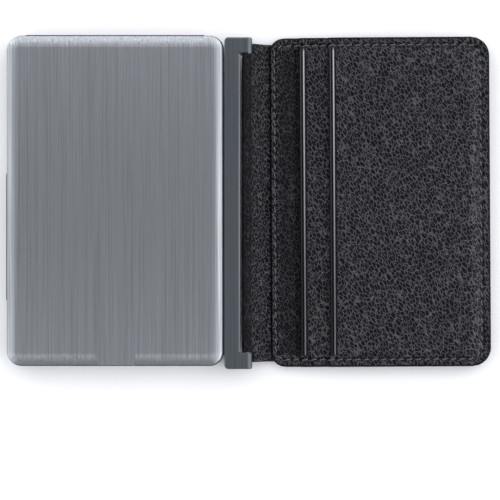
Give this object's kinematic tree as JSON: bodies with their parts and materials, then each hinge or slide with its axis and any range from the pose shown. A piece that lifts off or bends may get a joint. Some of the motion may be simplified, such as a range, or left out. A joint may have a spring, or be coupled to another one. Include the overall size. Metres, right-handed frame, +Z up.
{
  "type": "minimalist wallet",
  "caption": "Slim wallet: a metal card case with a thumb slider, a slide-on side rail, and a hinged leather cover with stitched card pockets.",
  "frame": {"origin": "on the table under the middle of the open wallet", "axes": "+X from the card case to the leather cover, +Y towards the case's card mouth, +Z up from the table"},
  "size_m": [0.1526, 0.1048, 0.0092],
  "materials": {
    "brushed_aluminium": "brushed lengthways, clear anodised",
    "gunmetal_aluminium": "satin, dark grey anodised",
    "black_moulding": "moulded, fine matt texture",
    "spring_steel": "drawn and polished",
    "black_leather": "pebbled full-grain leather, soft sheen",
    "black_thread": "bonded polyester thread",
    "lining_cloth": "plain woven lining",
    "fibre_board": "pressed fibre board",
    "foam": "adhesive foam sheet"
  },
  "bodies": {
    "card_case": {"case_front_shell": "brushed_aluminium", "case_back_shell": "brushed_aluminium", "case_core_frame": "black_moulding", "front_guide_plate": "black_moulding", "back_guide_plate": "black_moulding", "front_bond_pad": "foam", "back_bond_pad": "foam", "rail_receiver": "gunmetal_aluminium", "receiver_screws": "spring_steel", "card_brake_spring": "spring_steel", "guide_rod": "spring_steel"},
    "card_slider": {"slider_carriage": "black_moulding", "thumb_knob": "gunmetal_aluminium", "step_pusher": "black_moulding", "slider_click_spring": "spring_steel"},
    "rail": {"rail_body": "gunmetal_aluminium", "hinge_pin": "spring_steel", "pin_end_plugs": "gunmetal_aluminium", "detent_spring": "spring_steel"},
    "detent": {"detent_plunger": "spring_steel"},
    "strap": {"hinge_strap": "black_leather"},
    "cover": {"outer_cover": "black_leather", "strap_tail": "black_leather", "stiffener_board": "fibre_board", "base_leather": "black_leather", "rear_pocket_lining": "lining_cloth", "rear_pocket": "black_leather", "front_pocket_lining": "lining_cloth", "front_pocket": "black_leather", "inner_stitching": "black_thread", "outer_stitching": "black_thread"}
  },
  "joints": [
    {"name": "rail_slide", "type": "slide", "parent": "card_case", "child": "rail", "axis": [0, -1, 0], "range_m": [0, 0.104]},
    {"name": "cover_hinge", "type": "hinge", "parent": "rail", "child": "strap", "pos_m": [-0.0007, 0, 0.0074], "axis": [0, -1, 0], "range_deg": [-12, 160.2]},
    {"name": "cover_crease", "type": "hinge", "parent": "strap", "child": "cover", "pos_m": [0.0057, 0, 0.0015], "axis": [0, -1, 0], "range_deg": [-2, 20.8]},
    {"name": "detent_press", "type": "slide", "parent": "rail", "child": "detent", "axis": [1, 0, 0], "range_m": [0, 0.0004], "stiffness_N_per_m": 400, "springref_m": -0.001},
    {"name": "card_push", "type": "slide", "parent": "card_case", "child": "card_slider", "axis": [0, 1, 0], "range_m": [0, 0.026]}
  ],
  "couplings": [
    {"joint": "cover_crease", "follows": "cover_hinge", "ratio": 0.1237}
  ]
}
